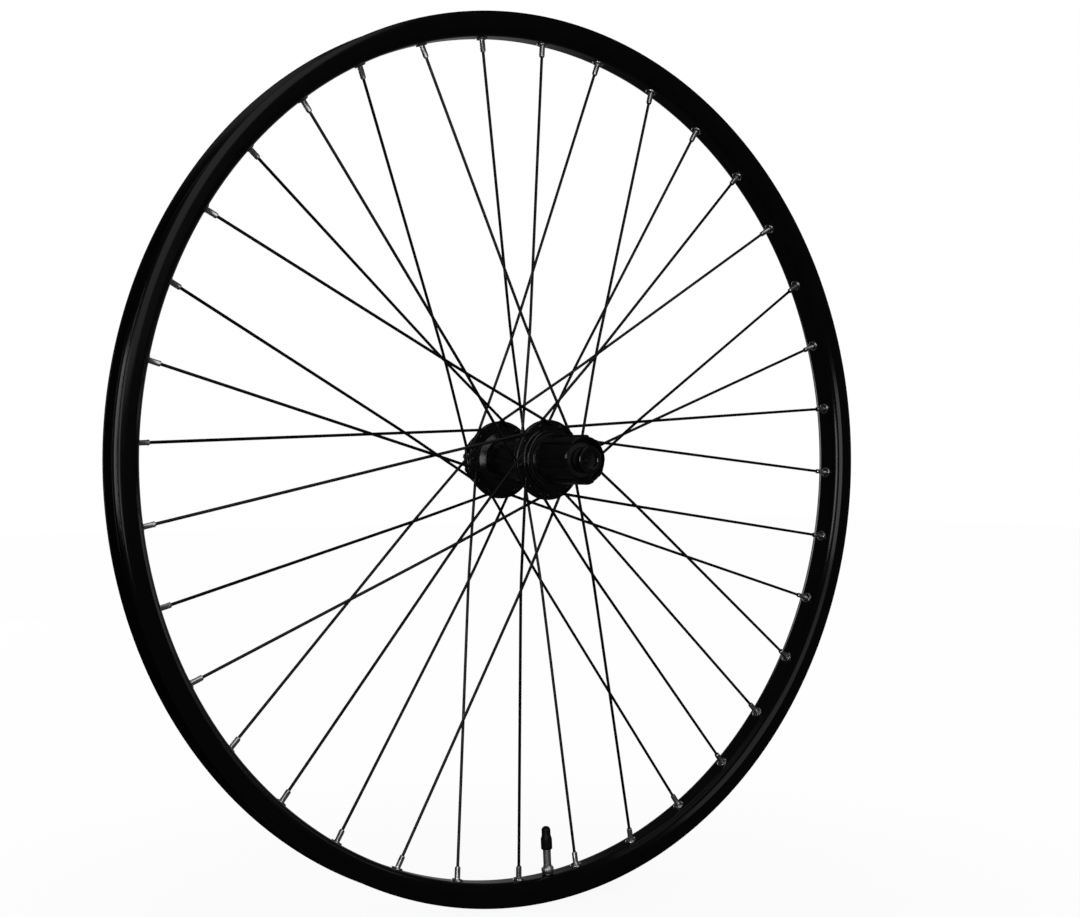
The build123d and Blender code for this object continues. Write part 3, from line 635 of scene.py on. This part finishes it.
dustCapSet = {
    "base": 17.8, "shoulder": 26.8, "top": 34.4, "skirt": 4.1, "nose": 3.25, "bore": 3.0, "boreDepth": 6.0,
    "edge": (0.3, 0.4), "ribs": 14, "ribDepth": 0.22, "ribGap": 1.0,
    "rows": 6, "firstRow": 2.0, "rowStep": 0.9,
    "skirtTop": ((0.05, 1.4), (0.35, 0.5)),  # drop from the skirt, depth under the shoulder
    "noseFoot": ((0.25, 0.5), (0.0, 1.2)),  # excess over the nose, height over the shoulder
    "dome": 2.9, "domeTip": 0.4, "domeSteps": 10, "tip": 0.01, "sides": 112,
}
valvePlace = Matrix.Translation((0, 0, valveSet["face"] * mm)) @ Matrix.Rotation(math.pi, 4, "X")
valveFrame = turnAbout(rimSet["valveAngle"]) @ valvePlace


def valveTurned(outline, sides, wobble=None):  # open outline of (radius, height) turned on the valve's line
    verts = []
    for r, z in outline:
        for a in around(sides):
            q = r + (wobble(a, z) if wobble else 0.0)
            verts.append(valveFrame @ Vector((q * math.cos(a) * mm, q * math.sin(a) * mm, z * mm)))
    return verts, bandFaces(len(outline), sides)


def wave(angle, count):  # from 0 to 1 and back, a number of times round
    return 0.5 + 0.5 * math.cos(angle * count)


def makeStem():
    v = valveSet
    z = nutSet["base"]
    outline = [(v["stemBore"], v["stemBottom"]), (v["stem"], v["stemBottom"]), (v["stem"], z)]
    while z < dustCapSet["base"] + v["threadPast"]:
        outline.append((v["stem"], z + v["threadPitch"] * v["threadCrest"]))
        outline.append((v["stem"] - v["threadDepth"], z + v["threadPitch"] * v["threadRoot"]))
        z += v["threadPitch"]
    outline += [(v["stem"] - v["stemTaper"], v["stemTop"]), (v["coreBore"], v["stemTop"])]
    outline.append((v["coreBore"], v["stemTop"] - v["coreDepth"]))
    verts, faces = valveTurned(outline, v["sides"])
    addPiece("valveStem", verts, faces, "nickel", "wheel", ["valve_stem"], sharp=60)


def makeNut():
    n = nutSet
    base, top, wide, deep = n["base"], n["top"], *n["boreChamfer"]
    outline = [(n["bore"], base)]
    outline += [(n["radius"] - drop, base + height) for drop, height in n["lower"]]
    outline += [(n["radius"] - drop, top - depth) for drop, depth in n["upper"]]
    outline += [(n["bore"] + wide, top), (n["bore"], top - deep), (n["bore"], base)]

    def knurl(angle, z):
        between = base + n["knurlBase"] < z < top - n["knurlTop"]
        return -n["knurlDepth"] * wave(angle, n["knurls"]) if between else 0.0

    verts, faces = valveTurned(outline, n["sides"], knurl)
    addPiece("valveNut", verts, faces, "nickel", "wheel", ["valve_nut"], sharp=40)


def makeSealRing():
    s = sealSet
    outline = []
    for k in range(s["steps"] + 1):
        a = fullTurn * k / s["steps"]
        r, z = s["middle"] + s["halfWidth"] * math.cos(a), s["level"] + s["halfHeight"] * math.sin(a)
        outline.append((r, z))
    verts, faces = valveTurned(outline, s["sides"])
    addPiece("valveSealRing", verts, faces, "rubber", "wheel", ["valve_seal_ring"], sharp=60)


def makeDustCap():
    c = dustCapSet
    skirt, nose, base, shoulder = c["skirt"], c["nose"], c["base"], c["shoulder"]
    inset, lift = c["edge"]
    outline = [(c["bore"], base + c["boreDepth"]), (c["bore"], base)]
    outline += [(skirt - inset, base), (skirt, base + lift)]
    outline += [(skirt, base + c["firstRow"] + k * c["rowStep"]) for k in range(c["rows"])]
    outline += [(skirt - drop, shoulder - depth) for drop, depth in c["skirtTop"]]
    outline += [(nose + excess, shoulder + height) for excess, height in c["noseFoot"]]
    domeFoot, tip = c["top"] - c["dome"], c["domeTip"]
    for k in range(c["domeSteps"] + 1):
        a = math.pi / 2 * k / c["domeSteps"]
        outline.append((tip + (nose - tip) * math.cos(a), domeFoot + c["dome"] * math.sin(a)))
    outline.append((c["tip"], c["top"]))

    def ribs(angle, z):
        between = base + c["ribGap"] < z < shoulder - c["ribGap"]
        return -c["ribDepth"] * wave(angle, c["ribs"]) ** 2 if between else 0.0

    verts, faces = valveTurned(outline, c["sides"], ribs)
    addPiece("valveDustCap", verts, faces, "plastic", "valve_cap", ["valve_cap"], sharp=50)


makeStem()
makeNut()
makeSealRing()
makeDustCap()
print("valve")

# Hub: spun shell with drilled flanges and a notched rotor seat, splined freehub, end caps
hubSet = {
    "barrel": 15.5, "neck": 17.0, "neckFoot": 3.0, "web": 20.0, "webFoot": 2.4, "flareStart": -2.0,
    "pocket": 19.0, "pocketOuter": 21.6, "pocketFloor": -15.8, "driveEnd": -27.0,
    "rotorFace": 55.7, "rotorEnd": 61.1, "shoulder": 20.5, "shoulderWidth": 2.6,
    "spline": 17.8, "lockBore": 15.3,
    "splines": 20, "grooveHalf": 0.067, "grooveDepth": 1.3, "grooveGap": 0.6,
    "bearingSeat": 14.05, "bearingFace": 54.0, "discSeatEnd": 47.0, "driveSeatEnd": -8.0, "core": 10.8,
    "edge": 0.5, "edgeSteps": 6, "sharp": 30, "segments": 240,
    "hole": 1.35, "holeSides": 16, "drillHalf": 3.0,
}
hubFillets = {
    "neck": 2.0, "discWeb": 1.5, "discEdge": 0.9, "barrelFoot": 1.0, "flare": 6.0, "driveWeb": 2.5,
    "driveInnerEdge": 0.6, "driveOuterEdge": 2.3, "pocketFoot": 1.5, "pocketRim": 2.0,
}


def hubOutline():
    h, fillet, flange, half = hubSet, hubFillets, flangeSet["radius"], flangeSet["half"]
    discIn, discOut = flangeSet["disc"] - half, flangeSet["disc"] + half
    driveOut, driveIn = flangeSet["drive"] - half, flangeSet["drive"] + half
    shoulderEnd = h["rotorFace"] - h["shoulderWidth"]
    outside = [
        (h["spline"], h["rotorEnd"]), (h["spline"], h["rotorFace"]), (h["shoulder"], h["rotorFace"]),
        (h["shoulder"], shoulderEnd), (h["neck"], shoulderEnd - h["shoulderWidth"]),
        (h["neck"], discOut + h["neckFoot"], fillet["neck"]), (h["web"], discOut, fillet["discWeb"]),
        (flange, discOut, fillet["discEdge"]), (flange, discIn, fillet["discEdge"]),
        (h["web"], discIn, fillet["discEdge"]), (h["barrel"], discIn - h["webFoot"], fillet["barrelFoot"]),
        (h["barrel"], h["flareStart"], fillet["flare"]), (h["pocketOuter"], driveIn, fillet["driveWeb"]),
        (flange, driveIn, fillet["driveInnerEdge"]), (flange, driveOut, fillet["driveOuterEdge"]),
        (h["pocketOuter"], driveOut, fillet["pocketFoot"]),
        (h["pocketOuter"], h["driveEnd"], fillet["pocketRim"]),
    ]
    inside = [
        (h["pocket"], h["driveEnd"]), (h["pocket"], h["pocketFloor"]), (h["bearingSeat"], h["pocketFloor"]),
        (h["bearingSeat"], h["driveSeatEnd"]), (h["core"], h["driveSeatEnd"]),
        (h["core"], h["discSeatEnd"]),
        (h["bearingSeat"], h["discSeatEnd"]), (h["bearingSeat"], h["bearingFace"]),
        (h["lockBore"], h["bearingFace"]), (h["lockBore"], h["rotorEnd"]),
    ]
    return rounded(outside + inside, h["edge"], h["edgeSteps"])


def flangeDrills():  # a pin through every spoke hole of both flanges
    h, sides = hubSet, hubSet["holeSides"]
    faces = bandFaces(2, sides) + [tuple(reversed(range(sides))), tuple(range(sides, 2 * sides))]
    pins = []
    for k in range(rimSet["stations"]):
        turn = turnAbout(firstStation + spokeSet["lacing"] + k * stationPitch)
        middle = flangeSet["disc"] if k % 2 == 0 else flangeSet["drive"]
        verts = []
        for end in (-h["drillHalf"], h["drillHalf"]):
            for a in around(sides):
                up = flangeSet["holeCircle"] + h["hole"] * math.sin(a)
                verts.append(turn @ (Vector((h["hole"] * math.cos(a), middle + end, up)) * mm))
        pins.append((verts, faces))
    return merged(pins)


def makeHub():
    h = hubSet

    def notch(r, y, angle):
        if y < h["rotorFace"] + h["grooveGap"] or r < h["spline"] - h["grooveGap"]:
            return r
        pitch = fullTurn / h["splines"]
        off = abs((angle + pitch / 2) % pitch - pitch / 2)
        return r - h["grooveDepth"] if off < h["grooveHalf"] else r

    verts, faces = spun(hubOutline(), h["segments"], notch)
    shell = addPiece("hubShell", verts, faces, "hub", "wheel", ["hub_shell"], sharp=h["sharp"])
    cutMesh = bpy.data.meshes.new("flangeDrills")
    verts, faces = flangeDrills()
    cutMesh.from_pydata([tuple(v) for v in verts], [], faces)
    cutter = bpy.data.objects.new("flangeDrills", cutMesh)
    bpy.context.scene.collection.objects.link(cutter)
    cut = shell.modifiers.new("drilled", "BOOLEAN")
    cut.object, cut.operation, cut.solver = cutter, "DIFFERENCE", "EXACT"
    bpy.context.view_layer.update()
    drilled = bpy.data.meshes.new_from_object(shell.evaluated_get(bpy.context.evaluated_depsgraph_get()))
    shell.modifiers.clear()
    shell.data = drilled
    drilled.shade_smooth()
    drilled.set_sharp_from_angle(angle=math.radians(h["sharp"]))
    bpy.data.objects.remove(cutter)


makeHub()

freehubSet = {
    "stop": 18.7, "stopFace": -27.3, "stopWidth": 2.4, "stopEdge": 0.8, "stepDown": 0.02,
    "body": 17.45, "end": -65.6,
    "endChamfer": 1.2, "lockBore": 15.3, "boss": 14.3, "bossEnd": -16.1, "bore": 9.9, "bearingSeat": 12.05,
    "bearingFace": -59.6, "bearingBack": -54.6, "edge": 0.4, "edgeSteps": 3, "segments": 360,
    "splines": 9, "groove": 3.3, "keyExtra": 0.7, "keyAngle": 23.0, "depth": 1.2, "grooveGap": 0.3,
}


def makeFreehub():
    f = freehubSet
    body, stopEnd, root = f["body"], f["stopFace"] - f["stopWidth"], f["body"] - f["depth"]
    outline = [
        (f["bore"], f["bossEnd"]), (f["boss"], f["bossEnd"]), (f["boss"], f["stopFace"]),
        (f["stop"], f["stopFace"]), (f["stop"], stopEnd, f["stopEdge"]),
        (body, stopEnd - f["stepDown"]), (body, f["end"] + f["endChamfer"]),
        (body - f["endChamfer"], f["end"]), (f["lockBore"], f["end"]), (f["lockBore"], f["bearingFace"]),
        (f["bearingSeat"], f["bearingFace"]), (f["bearingSeat"], f["bearingBack"]),
        (f["bore"], f["bearingBack"]),
    ]

    def groove(r, y, angle):
        if y > stopEnd - f["grooveGap"] or r < root:
            return r
        pitch = fullTurn / f["splines"]
        fromKey = angle - math.radians(f["keyAngle"])
        index = round(fromKey / pitch)
        half = (f["groove"] + (f["keyExtra"] if index % f["splines"] == 0 else 0.0)) / body
        return min(r, root) if abs(fromKey - index * pitch) < half else r

    verts, faces = spun(rounded(outline, f["edge"], f["edgeSteps"]), f["segments"], groove)
    addPiece("freehubBody", verts, faces, "freehub", "freehub", ["freehub_body"], sharp=30)


makeFreehub()

endCapSet = {
    "bore": 6.05, "leadIn": 0.8, "sleeve": 8.9, "collar": 9.5, "collarWidth": 5.0, "collarEase": 0.8,
    "endFace": 71.0,
    "endEdge": 0.6, "counter": 7.55, "stop": 68.0, "edge": 0.3, "edgeSteps": 3, "segments": 128,
}


def makeEndCap(name, node, side, start):
    c = endCapSet
    end, collarStart = c["endFace"], c["endFace"] - c["collarWidth"]
    outline = rounded([
        (c["counter"], start), (c["sleeve"], start), (c["sleeve"], collarStart),
        (c["collar"], collarStart + c["collarEase"]), (c["collar"], end - c["endEdge"]),
        (c["collar"] - c["endEdge"], end), (c["bore"] + c["leadIn"], end), (c["bore"], end - c["leadIn"]),
        (c["bore"], c["stop"]), (c["counter"], c["stop"]),
    ], c["edge"], c["edgeSteps"])
    verts, faces = spun([(r, side * y) for r, y in outline], c["segments"])
    if side < 0:
        faces = [tuple(reversed(face)) for face in faces]
    addPiece(name, verts, faces, "hub", "axle", [node], sharp=30)


makeEndCap("discEndCap", "disc_end_cap", 1, hubSet["bearingFace"])
makeEndCap("driveEndCap", "drive_end_cap", -1, -freehubSet["bearingFace"])
print("hub, freehub and end caps")

# The solids that show as they are get the same finishes, plain steel where none is named
solidFinish = {
    "valve_foot": "rubber", "freehub_seal": "rubber", "disc_dust_seal": "rubber", "valve_core": "nickel",
    "axle": "alloy", "drive_spacer": "alloy", "freehub_spacer": "alloy",
}


def finishSolids():
    for name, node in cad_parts.items():
        if node.hide_render:
            continue
        finish = "rubber" if name.endswith("_seals") else solidFinish.get(name, "steel")
        for slot in node.material_slots:
            slot.material = finishes[finish]


finishSolids()
print("inner pieces finished")

# Camera at the photograph's angle, from the fit of spokes, nipples and rim edge
cameraSet = {
    "azimuth": -35.858, "elevation": 0.045, "distance": 1.2315, "sensor": 36.0, "clipStart": 0.01,
    "focalPixels": 1712.2, "wheelPixel": (530.20, 459.85), "frame": (1080, 917),
}


def makeCamera():
    c = cameraSet
    a, e = math.radians(c["azimuth"]), math.radians(c["elevation"])
    back = Vector((math.sin(a) * math.cos(e), -math.cos(a) * math.cos(e), math.sin(e)))
    data = bpy.data.cameras.new("camera")
    camera = bpy.data.objects.new("camera", data)
    bpy.context.scene.collection.objects.link(camera)
    wide, high = c["frame"]
    data.sensor_width = c["sensor"]
    data.lens = c["sensor"] * c["focalPixels"] / wide
    data.shift_x = (wide / 2 - c["wheelPixel"][0]) / wide
    data.shift_y = (c["wheelPixel"][1] - high / 2) / wide
    data.clip_start = c["clipStart"]
    camera.location = back * c["distance"]
    camera.rotation_euler = (-back).to_track_quat("-Z", "Y").to_euler()
    bpy.context.scene.camera = camera


makeCamera()

floorSet = {
    "level": -0.3172, "half": 6.0, "paint": 0.58, "paintVary": 0.02, "rough": 0.9, "cloud": 4.0,
    # contact and shade: reach and depth of the painted shade around the contact point
    "contact": 0.5, "white": 0.985, "shade": 0.06,
}


def makeFloor():
    s = floorSet
    half, level = s["half"], s["level"]
    mesh = bpy.data.meshes.new("floor")
    corners = [(-half, -half, level), (half, -half, level), (half, half, level), (-half, half, level)]
    mesh.from_pydata(corners, [], [(0, 1, 2, 3)])
    floor = bpy.data.objects.new("floor", mesh)
    bpy.context.scene.collection.objects.link(floor)
    floor.visible_glossy = False  # the black gloss mirrors the backdrop and the dark room, not the floor
    f = Finish("paleFloor", {"Roughness": s["rough"]})
    dark, light = s["paint"], s["paint"] + s["paintVary"]
    f.feed("Base Color", f.tint(f.noise(s["cloud"]), (dark, dark, dark), (light, light, light)))
    camera = f.node("LightPath", out="Is Camera Ray")
    lit = Wire(f.tree, f.shader.outputs[0])
    white = f.node("Emission", Color=(1, 1, 1, 1), Strength=1.0)
    x, y = (f.node("SeparateXYZ", out=i, Vector=f.place()) for i in range(2))
    # painted contact shade: the floor darkens toward the wheel's contact point by distance, whatever the
    # light
    contactShadeMask = (1 - (x * x + y * y) ** 0.5 / s["contact"]).clipped()
    share = camera * (s["white"] - contactShadeMask * s["shade"])  # near the contact the floor gets painted shade, and more of the lit floor's real shadow shows
    f.link(f.node("MixShader", Fac=share, i1=lit, i2=white), "Material Output", "Surface")
    mesh.materials.append(f.material)


makeFloor()

roomSet = {
    "skyLight": 0.42, "backGlow": 0.20, "roomGlow": 0.03,
    "backWay": (0.586, 0.81, 0.0), "backEdge": (0.88, 0.10),  # edge: where it starts, and its width
}


def makeRoom():  # white to the camera, dim in reflections but for the wall behind the wheel
    s = roomSet
    world = bpy.data.worlds.new("studio")
    bpy.context.scene.world = world
    world.use_nodes = True
    sky = Shading(world.node_tree)
    camera = sky.node("LightPath", out="Is Camera Ray")
    glossy = sky.node("LightPath", out="Is Glossy Ray")
    through = sky.node("LightPath", out="Is Transmission Ray")
    way = sky.node("TexCoord", out="Generated")
    along = sky.node("VectorMath", {"operation": "DOT_PRODUCT"}, out="Value", i0=way, i1=s["backWay"])
    start, width = s["backEdge"]
    behind = ((along - start) / width).clipped()
    mirrored = behind * (s["backGlow"] - s["roomGlow"]) + s["roomGlow"]
    seen = (camera + through).clipped()
    strength = seen + (1 - seen) * (glossy * mirrored + (1 - glossy) * s["skyLight"])
    sky.tree.nodes["Background"].inputs["Color"].default_value = (1, 1, 1, 1)
    sky.link(strength, "Background", "Strength")


makeRoom()

lampSet = (  # name, place, aim, width, height, radiance
    ("overheadBox", (0.0, 0.1, 2.3), (0.0, 0.0, 0.0), 2.0, 2.0, 0.3),
    ("keyPanel", (-0.03, -1.75, 1.05), (0.0, 0.0, 0.1), 1.16, 1.9, 1.0),
    ("cameraPanel", (-0.94, -2.34, 0.06), (0.0, 0.0, 0.0), 0.36, 1.06, 3.6),
    ("sideStrip", (-2.5, -1.75, 0.25), (0.0, 0.0, 0.0), 0.4, 1.5, 8.0),
    ("backPanel", (0.0, 2.30, 0.15), (0.0, 0.0, 0.0), 0.9, 0.9, 2.4),
    ("farPanel", (2.4, 0.15, 0.60), (0.0, 0.0, 0.0), 0.5, 1.4, 0.7),
)


def makeLamp(name, place, aim, wide, high, radiance):
    data = bpy.data.lights.new(name, "AREA")
    data.shape = "RECTANGLE"
    data.size, data.size_y = wide, high
    data.energy = radiance * math.pi * wide * high
    lamp = bpy.data.objects.new(name, data)
    bpy.context.scene.collection.objects.link(lamp)
    lamp.visible_camera = False
    lamp.location = place
    lamp.rotation_euler = (Vector(aim) - Vector(place)).to_track_quat("-Z", "Y").to_euler()


for lampRow in lampSet:
    makeLamp(*lampRow)
bpy.context.scene.view_settings.view_transform = "Standard"
print("camera and light")
